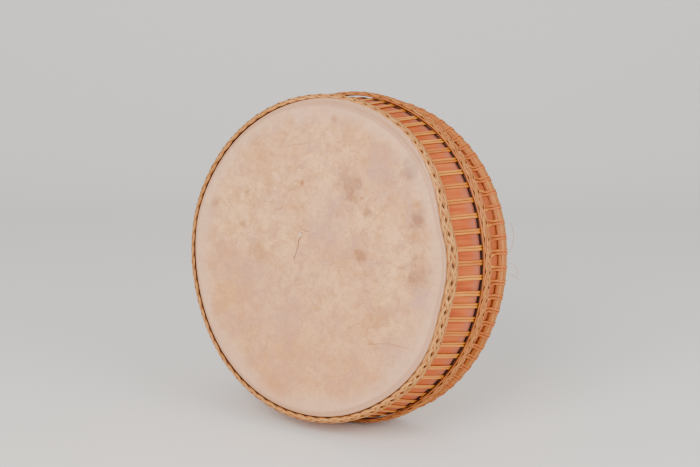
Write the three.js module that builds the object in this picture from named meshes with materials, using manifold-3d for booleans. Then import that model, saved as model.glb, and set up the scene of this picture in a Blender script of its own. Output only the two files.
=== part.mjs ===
// A shallow two-headed ritual drum, standing on its edge the way it is put down between ceremonies.
// A hollowed ring of log carries a rawhide head at each end. Each head is folded over the rim and held
// by a plaited rattan hoop. Split-rattan lacing runs in pairs from the front hoop to a third, middle
// plait, where every pair parts and crosses to its neighbours, and on to the back hoop.
// Millimetres, +Z up. The playing head faces -Y and the drum leans back a little, because its middle
// hoop is the widest: it rests on the flattened undersides of the middle hoop and the back hoop.
import * as THREE from "three";
import { mergeVertices } from "three/addons/utils/BufferGeometryUtils.js";
import Module from "manifold-3d";

const wasm = await Module();
wasm.setup();

// Driving dimensions. "at" is a distance along the drum's axis, from the face of the playing head.
const DEPTH = 140;
const SHELL_FRONT_RADIUS = 213;
const SHELL_WAIST_RADIUS = 225.5;
const SHELL_BACK_RADIUS = 215.5;
const SHELL_WALL = 11;
const SKIN = 2.2;
const SKIN_FOLD = 15;
const RIM_ROUND = 4;
const HOOP_WIDTH = 15;
const HOOP_THICKNESS = 7.6;
const FRONT_HOOP_THICKNESS = 10;
const RIM_HOOP_AT = 8;
const MIDDLE_HOOP_AT = 83;
const LACING_PAIRS = 74;
const PAIR_WIDTH = 7.4;
const STRIP_THICKNESS = 1.8;
const FORK_LENGTH = 5.5;
const FLAT_SPOT = 1.6;
const GAP = 0.35;

// Values worked out from them.
const BACK_HOOP_AT = DEPTH - RIM_HOOP_AT;
const LATHE_SEGMENTS = 52;
const PAIR_ANGLE = (2 * Math.PI) / LACING_PAIRS;
// The middle corner of the rounded rim, drawn in from the side and down from the face.
const ROUND_IN = RIM_ROUND * (1 - Math.SQRT1_2);
const ROUND_DOWN = RIM_ROUND * (1 - Math.SQRT1_2);

// The shell widens from both ends towards its waist, where the middle hoop sits.
const shellRadius = (at) =>
  at < MIDDLE_HOOP_AT
    ? THREE.MathUtils.mapLinear(at, 0, MIDDLE_HOOP_AT, SHELL_FRONT_RADIUS, SHELL_WAIST_RADIUS)
    : THREE.MathUtils.mapLinear(at, MIDDLE_HOOP_AT, DEPTH, SHELL_WAIST_RADIUS, SHELL_BACK_RADIUS);
const foldRadius = (at) => shellRadius(at) + GAP + SKIN;
// The lacing lies on the shell.
const lacingRadius = (at) => shellRadius(at) + GAP + STRIP_THICKNESS / 2;

// A hoop's place and its inner and outer radius, when it is pulled over something of the given radius.
function hoopOver(under, at, thickness) {
  const inner = under + GAP;
  return { at, inner, outer: inner + thickness };
}
const frontHoop = hoopOver(
  foldRadius(RIM_HOOP_AT + HOOP_WIDTH / 2),
  RIM_HOOP_AT,
  FRONT_HOOP_THICKNESS,
);
const middleHoop = hoopOver(
  lacingRadius(MIDDLE_HOOP_AT) + STRIP_THICKNESS / 2,
  MIDDLE_HOOP_AT,
  HOOP_THICKNESS,
);
const backHoop = hoopOver(
  foldRadius(BACK_HOOP_AT - HOOP_WIDTH / 2),
  BACK_HOOP_AT,
  HOOP_THICKNESS,
);

// The drum tips back until the crowns of the middle and back hoops are level.
const LEAN = Math.atan2(middleHoop.outer - backHoop.outer, BACK_HOOP_AT - MIDDLE_HOOP_AT);
const AXIS_HEIGHT =
  middleHoop.outer * Math.cos(LEAN) + MIDDLE_HOOP_AT * Math.sin(LEAN) - FLAT_SPOT;

// A point of the drum: turn is the angle from straight up, round the axis, which runs along +Y.
const drumPoint = (radius, turn, at) =>
  new THREE.Vector3(radius * Math.sin(turn), at, radius * Math.cos(turn));

function solidOf(geometry) {
  const bare = new THREE.BufferGeometry()
    .setAttribute("position", geometry.getAttribute("position"))
    .setIndex(geometry.index);
  const merged = mergeVertices(bare, 1e-3);
  return new wasm.Manifold(
    new wasm.Mesh({
      numProp: 3,
      vertProperties: merged.attributes.position.array,
      triVerts: new Uint32Array(merged.index.array),
    }),
  );
}

function geometryOf(solid) {
  const { vertProperties, triVerts } = solid.getMesh();
  const geometry = new THREE.BufferGeometry()
    .setAttribute("position", new THREE.BufferAttribute(vertProperties, 3))
    .setIndex(new THREE.BufferAttribute(triVerts, 1));
  geometry.computeVertexNormals();
  return geometry;
}

function geometryFrom(points, triangles) {
  const geometry = new THREE.BufferGeometry().setFromPoints(points);
  geometry.setIndex(triangles.flat());
  geometry.computeVertexNormals();
  return geometry;
}

// A round piece turned about the drum's axis, from [radius, at] corners.
function turned(corners) {
  const profile = corners.map(([radius, at]) => new THREE.Vector2(radius, at));
  return new THREE.LatheGeometry(profile, LATHE_SEGMENTS);
}

// The hollowed log: a ring, widest at its waist, with its outer edges rounded off for the skins.
function shell() {
  const front = SKIN + GAP;
  const back = DEPTH - SKIN - GAP;
  const waist = MIDDLE_HOOP_AT;
  return turned([
    [shellRadius(front) - SHELL_WALL, front],
    [shellRadius(front) - RIM_ROUND, front],
    [shellRadius(front) - ROUND_IN, front + ROUND_DOWN],
    [shellRadius(front + RIM_ROUND), front + RIM_ROUND],
    [shellRadius(waist), waist],
    [shellRadius(back - RIM_ROUND), back - RIM_ROUND],
    [shellRadius(back) - ROUND_IN, back - ROUND_DOWN],
    [shellRadius(back) - RIM_ROUND, back],
    [shellRadius(back) - SHELL_WALL, back],
    [shellRadius(waist) - SHELL_WALL, waist],
    [shellRadius(front) - SHELL_WALL, front],
  ]);
}

// A skin stretched over one end and folded down its side. inward turns distances for the back head.
function head(inward) {
  const place = (radius, deep) => [radius + shellRadius(inward(deep)), inward(deep)];
  const outer = GAP + SKIN;
  const outerRound = (RIM_ROUND + outer) * (1 - Math.SQRT1_2);
  return [
    [0, inward(0)],
    place(-RIM_ROUND, 0),
    place(outer - outerRound, outerRound),
    place(outer, SKIN + RIM_ROUND),
    place(outer, SKIN_FOLD),
    place(GAP, SKIN_FOLD),
    place(GAP, SKIN + RIM_ROUND),
    place(GAP - ROUND_IN, SKIN + ROUND_DOWN),
    place(-RIM_ROUND, SKIN),
    [0, inward(SKIN)],
  ];
}

// A plait, flat against the drum and crowned outside. Its corners stand out and draw in by turns, a
// strand crossing for every pair of the lacing, with ridges that mirror on either side of the crown.
function plaitedHoop(hoop) {
  const shoulder = 0.68;
  const drawnIn = 0.84;
  const section = [
    [-0.5, 0],
    [-0.5, shoulder],
    [0, 1],
    [0.5, shoulder],
    [0.5, 0],
  ];
  const stations = 2 * LACING_PAIRS;
  const points = [];
  for (let k = 0; k < stations; k++) {
    section.forEach(([across, up], j) => {
      const reach = (j + k) % 2 ? 1 : drawnIn;
      const radius = THREE.MathUtils.lerp(hoop.inner, hoop.outer, up * reach);
      points.push(drumPoint(radius, (k * PAIR_ANGLE) / 2, hoop.at + across * reach * HOOP_WIDTH));
    });
  }
  const sides = section.length;
  const triangles = [];
  for (let k = 0; k < stations; k++) {
    for (let j = 0; j < sides; j++) {
      const next = (k + 1) % stations;
      const up = (j + 1) % sides;
      const [a, b, c, d] = [k * sides + j, next * sides + j, next * sides + up, k * sides + up];
      const ridgeFromA = (j + k) % 2 === 1;
      triangles.push(...(ridgeFromA ? [[a, b, c], [a, c, d]] : [[a, b, d], [b, c, d]]));
    }
  }
  return geometryFrom(points, triangles);
}

// A sheet of even thickness on the shell's cones, from [turn, at] corners and the triangles between
// them. Every edge that belongs to one triangle only gets a side wall.
function thickSheet(corners, triangles) {
  const count = corners.length;
  const layer = (offset) =>
    corners.map(([turn, at]) => drumPoint(lacingRadius(at) + offset, turn, at));
  const points = [...layer(STRIP_THICKNESS / 2), ...layer(-STRIP_THICKNESS / 2)];
  const faces = [];
  const edges = new Map();
  for (const [a, b, c] of triangles) {
    faces.push([a, b, c], [a + count, c + count, b + count]);
    for (const [from, to] of [[a, b], [b, c], [c, a]]) edges.set(`${from},${to}`, [from, to]);
  }
  for (const [from, to] of edges.values()) {
    if (edges.has(`${to},${from}`)) continue;
    faces.push([from, from + count, to], [to, from + count, to + count]);
  }
  return geometryFrom(points, faces);
}

// The lacing: one long split-rattan strip that zigzags round the drum. From the front hoop to the
// middle plait its runs lie together in pairs, and behind the plait each run crosses to the next pair.
function lacing() {
  const frontEnd = RIM_HOOP_AT + HOOP_WIDTH / 2 + GAP;
  const backEnd = BACK_HOOP_AT - HOOP_WIDTH / 2 - GAP;
  const parting = MIDDLE_HOOP_AT;
  const half = PAIR_WIDTH / 2 / lacingRadius(parting);
  const corners = [];
  const triangles = [];
  const perPair = 8;
  for (let i = 0; i < LACING_PAIRS; i++) {
    const turn = i * PAIR_ANGLE;
    const between = turn + PAIR_ANGLE / 2;
    corners.push([turn - half, frontEnd], [turn + half, frontEnd]);
    corners.push([turn - half, parting], [turn + half, parting], [turn, parting + FORK_LENGTH]);
    corners.push([between, backEnd - FORK_LENGTH], [between - half, backEnd], [between + half, backEnd]);
    const own = (n) => i * perPair + n;
    const next = (n) => ((i + 1) % LACING_PAIRS) * perPair + n;
    triangles.push([own(0), own(1), own(3)], [own(0), own(3), own(2)], [own(2), own(3), own(4)]);
    triangles.push([own(3), own(5), own(4)], [own(5), own(6), own(4)], [own(5), own(7), own(6)]);
    triangles.push([own(5), next(2), next(4)], [own(5), next(4), own(7)]);
  }
  return thickSheet(corners, triangles);
}

// The floor as a block in the drum's own frame, which turns back as far as the drum leans.
const FLOOR_SIZE = 1000;
const floor = new THREE.BoxGeometry(FLOOR_SIZE, FLOOR_SIZE, FLOOR_SIZE)
  .translate(0, 0, -AXIS_HEIGHT - FLOOR_SIZE / 2)
  .rotateX(LEAN);
const standing = (geometry) => geometryOf(solidOf(geometry).subtract(solidOf(floor)));

const wood = new THREE.MeshStandardMaterial({ color: 0xa5623f, roughness: 0.75, metalness: 0 });
const rawhide = new THREE.MeshStandardMaterial({ color: 0xd9bfa2, roughness: 0.7, metalness: 0 });
const rattan = new THREE.MeshStandardMaterial({ color: 0xc79a63, roughness: 0.55, metalness: 0 });
const plait = new THREE.MeshStandardMaterial({ color: 0xb98e5e, roughness: 0.65, metalness: 0 });

const drum = new THREE.Group();
function addPiece(name, geometry, material) {
  const mesh = new THREE.Mesh(geometry, material);
  mesh.name = name;
  drum.add(mesh);
}

addPiece("shell", shell(), wood);
addPiece("front_head", turned(head((deep) => deep)), rawhide);
addPiece("back_head", turned(head((deep) => DEPTH - deep).reverse()), rawhide);
addPiece("front_hoop", plaitedHoop(frontHoop), plait);
addPiece("middle_hoop", standing(plaitedHoop(middleHoop)), plait);
addPiece("back_hoop", standing(plaitedHoop(backHoop)), plait);
addPiece("lacing", lacing(), rattan);

// Lean it back on its flats, and put the middle of its footprint over the origin.
drum.rotation.x = -LEAN;
drum.position.z = AXIS_HEIGHT;
const box = new THREE.Box3().setFromObject(drum, true);
drum.position.y -= (box.min.y + box.max.y) / 2;
drum.position.z -= box.min.z;

export default drum;
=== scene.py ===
# %% [markdown]
# # A laced ritual drum
# This lesson dresses a shallow wooden drum: a hollowed ring of log, a rawhide head at each end, and
# rattan that holds everything tight. The solids come packed as a fixed frame. They settle where each
# piece is and how large it is. Here every piece gets its true surface: strips with a domed skin,
# plaits whose strands really pass over and under each other, and hide that is worn and smudged.
# We load the frame first and keep its box, whose lowest point gives the floor.

# %% Load the frame
import math

import bmesh
import bpy
import numpy as np
from mathutils import Matrix, Vector


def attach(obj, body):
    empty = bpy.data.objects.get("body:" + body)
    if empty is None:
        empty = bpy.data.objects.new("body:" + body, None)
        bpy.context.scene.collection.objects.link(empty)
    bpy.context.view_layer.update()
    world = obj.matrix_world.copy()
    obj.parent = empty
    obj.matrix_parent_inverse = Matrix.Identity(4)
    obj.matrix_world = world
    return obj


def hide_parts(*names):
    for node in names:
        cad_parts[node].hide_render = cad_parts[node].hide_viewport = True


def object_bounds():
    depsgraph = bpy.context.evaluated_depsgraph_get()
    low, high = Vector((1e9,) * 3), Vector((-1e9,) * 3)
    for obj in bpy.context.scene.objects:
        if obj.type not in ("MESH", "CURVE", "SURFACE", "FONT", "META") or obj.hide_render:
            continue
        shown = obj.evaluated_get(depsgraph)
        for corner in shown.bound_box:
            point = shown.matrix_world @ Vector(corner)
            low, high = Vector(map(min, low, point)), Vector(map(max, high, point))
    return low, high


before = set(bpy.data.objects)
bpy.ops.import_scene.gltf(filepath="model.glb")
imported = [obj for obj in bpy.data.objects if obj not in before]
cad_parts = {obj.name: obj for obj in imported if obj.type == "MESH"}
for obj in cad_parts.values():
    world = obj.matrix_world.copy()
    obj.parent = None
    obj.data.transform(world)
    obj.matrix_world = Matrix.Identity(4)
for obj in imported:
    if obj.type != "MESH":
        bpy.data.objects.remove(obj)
cad_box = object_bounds()
rng = np.random.default_rng(7)
print("nodes:", sorted(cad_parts))

# %% [markdown]
# ## Where the drum stands
# The drum leans back a little, so its axis is not one of the world's axes. We could type the lean in,
# but measuring it keeps this script true if the frame changes. The vertices of the front hoop lie
# close to one plane: the direction in which they spread least is the drum's axis. After that, every
# place on the drum is given the way a drum maker would: how far from the axis, how far round, and how
# far back from the playing head.

# %% Measure the axis
MM = 0.001


def cad_points(node):
    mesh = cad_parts[node].data
    flat = np.empty(len(mesh.vertices) * 3)
    mesh.vertices.foreach_get("co", flat)
    return np.unique(flat.reshape(-1, 3).round(6), axis=0)


hoop_points = cad_points("front_hoop")
hoop_centre = hoop_points.mean(axis=0)
AXIS = np.linalg.svd(hoop_points - hoop_centre)[2][2]
AXIS = AXIS * np.sign(AXIS[1])
RIGHT = np.array([1.0, 0.0, 0.0])
UP = np.cross(RIGHT, AXIS)
head_depths = (cad_points("front_head") - hoop_centre) @ AXIS
FACE = hoop_centre + AXIS * head_depths.min()
print("the drum leans back by", round(math.degrees(math.asin(-AXIS[2])), 2), "degrees")


# %% [markdown]
# A drum carved by hand is never a true circle. A short list of bulges and flats, in millimetres and in
# degrees from the top, says how far its outline strays. There is one list for the front, one for the
# waist and one for the back, and a smooth closed curve runs through each. Every place on the drum is
# pushed out or drawn in by them, so that skin, hoops and shell all stay in step. The lowest part keeps
# the true circle, because the drum stands on it.

# %% Outline as listed
DRUM_RADIUS = 225 * MM
FRONT_STRAY = (
    (-165, 0), (-140, -0.5), (-110, -1.5), (-80, 2), (-55, 1), (-20, -1), (15, 0), (45, 2), (55, 0),
    (64, -3.5), (72, -5), (80, -1.5), (88, -1), (102, -3), (115, 1), (150, 0.5), (175, 0),
)
WAIST_STRAY = (
    (-165, 0), (-140, -0.5), (-110, -1.5), (-80, 2.5), (-55, 2.5), (-20, -1), (15, 0), (45, 1),
    (62, -1.5), (78, -2.5), (95, -1.5), (112, 0), (130, 1), (150, 3), (163, 2), (175, 0),
)
BACK_STRAY = (
    (-165, 0), (-140, -0.5), (-110, -1.5), (-80, 2.5), (-55, 2.5), (-20, -1), (15, 0), (45, 1.5),
    (65, 2), (90, 0), (112, -0.5), (130, 1), (150, 3), (163, 2), (175, 0),
)
# The front list gives way to the waist's, and that to the back's, over these millimetres of depth.
TO_WAIST = (15, 70)
TO_BACK = (90, 125)
most = max(abs(value) for _, value in FRONT_STRAY + WAIST_STRAY + BACK_STRAY)
print("the outline strays from a circle by up to", most, "mm")


# %% A closed curve round the drum
def round_curve(turn, knots):
    """A smooth closed curve through (degrees, value) knots, read at every turn."""
    degrees, values = np.array(knots, dtype=float).T
    first = len(degrees)
    degrees = np.concatenate([degrees - 360, degrees, degrees + 360])
    values = np.tile(values, 3)
    slopes = np.gradient(values, degrees)
    here = (np.degrees(turn) - degrees[first]) % 360 + degrees[first]
    k = np.searchsorted(degrees, here, side="right") - 1
    step = degrees[k + 1] - degrees[k]
    share = (here - degrees[k]) / step
    rest = 1 - share
    leaving = values[k] * (1 + 2 * share) + slopes[k] * step * share
    reaching = values[k + 1] * (1 + 2 * rest) - slopes[k + 1] * step * rest
    return leaving * rest ** 2 + reaching * share ** 2


# %% Places on the drum
def share_over(stretch, at):
    """0 in front of a stretch of the drum's depth, 1 behind it, and even between."""
    return np.clip((at / MM - stretch[0]) / (stretch[1] - stretch[0]), 0, 1)


def stray(turn, at):
    """How far the drum strays from a circle at a place: the three lists, each over its own stretch."""
    front, waist, back = [round_curve(turn, knots) for knots in (FRONT_STRAY, WAIST_STRAY, BACK_STRAY)]
    to_waist = share_over(TO_WAIST, at) * (waist - front)
    to_back = share_over(TO_BACK, at) * (back - waist)
    return (front + to_waist + to_back) * MM


def outwards(turn):
    return np.multiply.outer(np.sin(turn), RIGHT) + np.multiply.outer(np.cos(turn), UP)


def place(radius, turn, at):
    """Points from the axis outwards, turned clockwise from the top, and back from the playing head."""
    radius, turn, at = np.broadcast_arrays(radius, turn, at)
    stretch = 1 + stray(turn, at) / DRUM_RADIUS
    return FACE + outwards(turn) * (radius * stretch)[..., None] + np.multiply.outer(at, AXIS)


def spread(node):
    """The smallest and largest distance from the axis, and from the face back, that a node reaches."""
    points = cad_points(node) - FACE
    at = points @ AXIS
    radius = np.linalg.norm(points - np.outer(at, AXIS), axis=1)
    return radius.min(), radius.max(), at.min(), at.max()


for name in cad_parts:
    print(name, [round(float(v) * 1000, 1) for v in spread(name)], "mm")

# %% [markdown]
# ## The camera
# A drum this size is best seen from about two metres with a lens a little longer than normal, from the
# right and slightly above. The camera is set by what it should see: it looks along a level heading
# turned from the head, dips by a few degrees, and keeps the front hoop's centre at a chosen place in
# the picture. Working it out from the hoop's centre keeps the framing when the drum changes.

# %% Camera
CAMERA_TURN = math.radians(35.97)
CAMERA_DIP = math.radians(11.28)
CAMERA_DISTANCE = 1.921
AIM_RIGHT = -0.0470
AIM_DOWN = 0.0341

camera_data = bpy.data.cameras.new("camera")
camera_data.lens = 72
camera_data.sensor_width = 36
camera = bpy.data.objects.new("camera", camera_data)
bpy.context.scene.collection.objects.link(camera)
level = math.cos(CAMERA_DIP)
look = Vector((-math.sin(CAMERA_TURN) * level, math.cos(CAMERA_TURN) * level, -math.sin(CAMERA_DIP)))
side = Vector((math.cos(CAMERA_TURN), math.sin(CAMERA_TURN), 0))
down = look.cross(side)
eye = Vector(hoop_centre) - look * CAMERA_DISTANCE - side * AIM_RIGHT - down * AIM_DOWN
camera.matrix_world = Matrix.Translation(eye) @ Matrix((side, -down, -look)).transposed().to_4x4()
bpy.context.scene.camera = camera
print("camera at", [round(v, 3) for v in eye])

# %% [markdown]
# ## Measures taken from the frame
# Every piece we are about to make stands for one of the frame's solids and has to fill the same space.
# So we read each solid's reach once and keep it under a plain name. The one number that the solids
# do not give directly is how many pairs of strips the lacing has, which is the number of turns that
# the maker's strip took round the drum.

# %% Measures of the drum
LACING_PAIRS = 74
PITCH = 2 * math.pi / LACING_PAIRS

shell_bore, waist_radius, shell_front_at, shell_back_at = spread("shell")
_, front_fold_radius, face_at, front_fold_at = spread("front_head")
_, back_fold_radius, back_fold_at, back_at = spread("back_head")


def hoop_measures(node):
    low, high, front, back = spread(node)
    return {"inner": low, "outer": high, "at": (front + back) / 2, "width": back - front}


front_hoop = hoop_measures("front_hoop")
middle_hoop = hoop_measures("middle_hoop")
back_hoop = hoop_measures("back_hoop")
print("hoops at", [round(h["at"] * 1000, 1) for h in (front_hoop, middle_hoop, back_hoop)], "mm")


def radius_near(node, at):
    """The largest radius of the node's points at one end of it, within a millimetre."""
    points = cad_points(node) - FACE
    ring = points[np.abs(points @ AXIS - at) < 1 * MM]
    return np.linalg.norm(ring - np.outer(ring @ AXIS, AXIS), axis=1).max()


# The shell is widest at its waist, under the middle hoop, and narrows evenly towards both lips.
LIP_ROUND = 4.0 * MM
LIP_ATS = (shell_front_at + LIP_ROUND, middle_hoop["at"], shell_back_at - LIP_ROUND)
LIP_RADII = (radius_near("shell", LIP_ATS[0]), waist_radius, radius_near("shell", LIP_ATS[2]))
print("shell radius", [round(float(r) * 1000, 1) for r in LIP_RADII], "mm")


def shell_radius(at):
    front_slope = (LIP_RADII[1] - LIP_RADII[0]) / (LIP_ATS[1] - LIP_ATS[0])
    back_slope = (LIP_RADII[1] - LIP_RADII[2]) / (LIP_ATS[2] - LIP_ATS[1])
    before = np.asarray(at) - LIP_ATS[1]
    return LIP_RADII[1] + np.where(before < 0, front_slope, -back_slope) * before

# %% [markdown]
# A maker spaces the lacing by eye, so the pairs crowd together in one place and drift apart in another.
# The same kind of closed curve says how many degrees each one has strayed from an even spacing. The
# plaits were made round the same pairs, so they follow the same drift.

# %% Spacing by eye
DRIFT = ((0, 0.8), (27, 1.2), (53, -0.6), (78, 1.5), (99, 2.7), (130, 2.1), (200, 0.2), (280, -0.5))


def spaced(turn):
    return turn + np.radians(round_curve(turn, DRIFT))


print("the lacing strays by up to", max(d[1] for d in DRIFT), "degrees")

# %% [markdown]
# ## Building meshes from arrays
# The drum has thousands of short lengths of strip, all with the same section: flat inside, where the
# cane was split, and domed outside, where its skin is. A modelling tool could sweep a curve for each
# one, but then no strip could narrow, twist or be squeezed under a hoop. So one small helper sweeps a
# section along a path of points, and a collector joins many of them to one mesh. Along with each point
# we keep three numbers for the material: how far along the strip it is, how far across, and a random
# tone for the whole strip, because no two lengths of cane have quite the same colour. A whole number
# added to the tone tells the finish to turn the cane a darker, redder brown there.

# %% A collector of swept strips
CANE_SECTION = np.array([
    (-0.5, 0.0), (-0.49, 0.55), (-0.36, 0.88), (0.0, 1.0), (0.36, 0.88), (0.49, 0.55), (0.5, 0.0),
])


def smooth_line(points, steps):
    """A smooth open line through the points, with so many steps from each to the next."""
    points = np.asarray(points, dtype=float)
    before = np.vstack([2 * points[0] - points[1], points[:-1]])
    after = np.vstack([points[1:], 2 * points[-1] - points[-2]])
    slopes = (after - before) / 2
    share = np.linspace(0, 1, steps, endpoint=False)[None, :, None]
    rest = 1 - share
    leaving = points[:-1, None] * (1 + 2 * share) + slopes[:-1, None] * share
    reaching = points[1:, None] * (1 + 2 * rest) - slopes[1:, None] * rest
    line = leaving * rest ** 2 + reaching * share ** 2
    return np.vstack([line.reshape(-1, points.shape[1]), points[-1]])


def unit(vectors):
    return vectors / np.linalg.norm(vectors, axis=-1, keepdims=True)


class Weave:
    """Gathers swept strips and turns them into one mesh."""

    def __init__(self):
        self.points = []
        self.quads = []
        self.caps = []
        self.grain = []
        self.count = 0

    def add(self, path, out, width, thickness, closed=False, age=0.0):
        """A strip along path, whose domed side faces out. Its flat side lies on the path."""
        n = len(path)
        ahead = np.roll(path, -1, axis=0) - np.roll(path, 1, axis=0)
        if not closed:
            ahead[0] = path[1] - path[0]
            ahead[-1] = path[-1] - path[-2]
        ahead = unit(ahead)
        across = unit(np.cross(ahead, out))
        out = unit(np.cross(across, ahead))
        width = np.broadcast_to(width, n)
        thickness = np.broadcast_to(thickness, n)
        sides = len(CANE_SECTION)
        span = across[:, None, :] * (width[:, None] * CANE_SECTION[None, :, 0])[..., None]
        rise = out[:, None, :] * (thickness[:, None] * CANE_SECTION[None, :, 1])[..., None]
        self.points.append((path[:, None, :] + span + rise).reshape(-1, 3))
        along = np.concatenate([[0], np.cumsum(np.linalg.norm(np.diff(path, axis=0), axis=1))])
        tone = rng.random()
        grain = np.empty((n, sides, 3))
        grain[..., 0] = along[:, None] + rng.random() * 3
        grain[..., 1] = CANE_SECTION[None, :, 0]
        grain[..., 2] = tone + np.broadcast_to(age, n)[:, None]
        self.grain.append(grain.reshape(-1, 3))
        ring = np.arange(sides)
        rows = np.arange(n if closed else n - 1)[:, None]
        a = rows * sides + ring
        b = rows * sides + (ring + 1) % sides
        c = ((rows + 1) % n) * sides + (ring + 1) % sides
        d = ((rows + 1) % n) * sides + ring
        self.quads.append(np.stack([a, b, c, d], axis=-1).reshape(-1, 4) + self.count)
        if not closed:
            self.caps.append((ring[::-1] + self.count).tolist())
            self.caps.append((ring + (n - 1) * sides + self.count).tolist())
        self.count += n * sides

    def mesh(self, name):
        return mesh_from(name, np.concatenate(self.points), np.concatenate(self.quads),
                         np.concatenate(self.grain), self.caps)


# %% [markdown]
# The mesh itself is filled straight from the arrays, which takes a blink even for a hundred thousand
# points. Some strips end up with faces that turn inwards, depending on which way they were swept, so
# the last step lets Blender make all faces look outwards. Anything that would sink below the floor is
# pressed up on to it, as the drum's own weight presses its lowest plaits flat. The shell, the heads and
# the bundles are grids of points round the axis, and one helper lists the faces of such a grid.

# %% Turn arrays into an object
FLOOR = float(cad_box[0][2])


def mesh_from(name, points, quads, grain, caps=()):
    points = np.array(points)
    points[:, 2] = np.maximum(points[:, 2], FLOOR)
    mesh = bpy.data.meshes.new(name)
    cap_corners = [corner for cap in caps for corner in cap]
    corners = np.concatenate([quads.ravel(), np.array(cap_corners, dtype=int)])
    sizes = np.concatenate([np.full(len(quads), 4), np.array([len(cap) for cap in caps], dtype=int)])
    starts = np.concatenate([[0], np.cumsum(sizes)[:-1]])
    mesh.vertices.add(len(points))
    mesh.vertices.foreach_set("co", points.ravel())
    mesh.loops.add(len(corners))
    mesh.loops.foreach_set("vertex_index", corners.astype(np.int32))
    mesh.polygons.add(len(sizes))
    mesh.polygons.foreach_set("loop_start", starts.astype(np.int32))
    mesh.polygons.foreach_set("use_smooth", np.ones(len(sizes), dtype=bool))
    mesh.update(calc_edges=True)
    attribute = mesh.attributes.new("grain", "FLOAT_VECTOR", "POINT")
    attribute.data.foreach_set("vector", np.asarray(grain, dtype=np.float32).ravel())
    face_outwards(mesh)
    mesh.validate()
    piece = bpy.data.objects.new(name, mesh)
    bpy.context.scene.collection.objects.link(piece)
    print(name, "has", len(mesh.polygons), "faces")
    return piece


def face_outwards(mesh):
    work = bmesh.new()
    work.from_mesh(mesh)
    bmesh.ops.recalc_face_normals(work, faces=work.faces)
    work.to_mesh(mesh)
    work.free()


# %% Faces over a grid of rings
def ring_quads(n, m, joined=True):
    """Faces over n turns of m points, the last turn next to the first. Joined also closes each turn."""
    i, j = np.meshgrid(np.arange(n), np.arange(m if joined else m - 1), indexing="ij")
    far, beside = (i + 1) % n, (j + 1) % m
    return np.stack([i * m + j, far * m + j, far * m + beside, i * m + beside], axis=-1).reshape(-1, 4)


# %% [markdown]
# ## The wooden shell
# The shell is a ring hollowed from a log and worked with an adze, so it is not quite round: long
# shallow flats run along it. A lathe tool would make it perfectly even. We turn a profile instead, and
# let every corner move in or out by a few tenths of a millimetre. In front of the middle hoop the maker
# cut a channel, and the wood inside it is painted nearly black as shade, so a black slot shows between
# the strips there.

# %% Shape of the shell
CHANNEL_DEPTH = 4.0 * MM
CHANNEL_LEAD = 1.6 * MM
CHANNEL_WIDTH = 4.4 * MM
CHANNEL_WALL = 0.3 * MM
SHELL_TURNS = 456
RINGS_AHEAD, RINGS_BEHIND = 14, 12
channel_front = middle_hoop["at"] - middle_hoop["width"] / 2 - CHANNEL_LEAD
channel_back = channel_front + CHANNEL_WIDTH


def adze_marks(turn, at):
    marks = 0.3 * np.sin(17 * turn + 1.0) + 0.2 * np.sin(31 * turn + 40 * at) + 0.12 * np.sin(57 * turn)
    return marks * MM


def wooden_shell():
    turns = np.linspace(0, 2 * math.pi, SHELL_TURNS, endpoint=False)
    lip = np.linspace(0, math.pi / 2, 5)
    front_lip = shell_front_at + LIP_ROUND * (1 - np.sin(lip))
    back_lip = shell_back_at - LIP_ROUND * (1 - np.sin(lip))
    lip_drop = LIP_ROUND * (1 - np.cos(lip))
    flank = np.concatenate([
        np.linspace(front_lip[0], channel_front, RINGS_AHEAD),
        [channel_front + CHANNEL_WALL, channel_back - CHANNEL_WALL],
        np.linspace(channel_back, back_lip[0], RINGS_BEHIND),
    ])
    sunk = np.zeros(len(flank))
    sunk[RINGS_AHEAD:RINGS_AHEAD + 2] = CHANNEL_DEPTH
    ats = np.concatenate([front_lip[::-1], flank[1:-1], back_lip])
    outside = shell_radius(ats) - np.concatenate([lip_drop[::-1], sunk[1:-1], lip_drop])
    wall = shell_radius(shell_front_at) - shell_bore
    inside_at = np.array([shell_back_at, middle_hoop["at"], shell_front_at])
    radii = np.concatenate([outside, shell_radius(inside_at) - wall])
    ats = np.concatenate([ats, inside_at])
    worked = np.concatenate([np.ones(len(outside)), np.zeros(len(inside_at))])
    turn_grid, at_grid = np.meshgrid(turns, ats, indexing="ij")
    radius_grid = radii[None, :] + worked[None, :] * adze_marks(turn_grid, at_grid)
    points = place(radius_grid, turn_grid, at_grid).reshape(-1, 3)
    grain = np.stack([at_grid, turn_grid, radius_grid], axis=-1).reshape(-1, 3)
    return mesh_from("wooden_shell", points, ring_quads(*turn_grid.shape), grain)


# %% The shell
shell = wooden_shell()
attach(shell, "root")
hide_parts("shell")

# %% [markdown]
# ## The rawhide heads
# A drum hide goes on wet, is folded over the rim and dries as tight as a board. It keeps low swells
# where the hide was thick and a fine groove where the rim starts. Outside the groove the spare hide is
# pulled tight over the corner, but on the upper right it is gathered in a puckered roll. We build the
# head on rings round the centre, close together near the rim where all the shape is. Two short
# outlines describe the rim, one tight and one gathered, and a closed curve blends them round the drum.

# %% Outlines of the rim
HIDE = 2.0 * MM
GROOVE_RADIUS = 214.0 * MM
# Along the tight outline: shares of the way from the groove to the side, and millimetres of depth.
TIGHT_RIM = ((0.0, 0.9), (0.35, 1.4), (0.68, 2.2), (0.94, 3.2), (1.0, 4.6), (1.0, 6.0))
# Along the gathered outline: millimetres out from the groove, and millimetres of depth.
GATHERED_RIM = ((0.0, 1.0), (1.3, 0.2), (3.6, -0.3), (6.0, 0.2), (7.3, 1.6), (6.6, 3.2))
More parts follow.
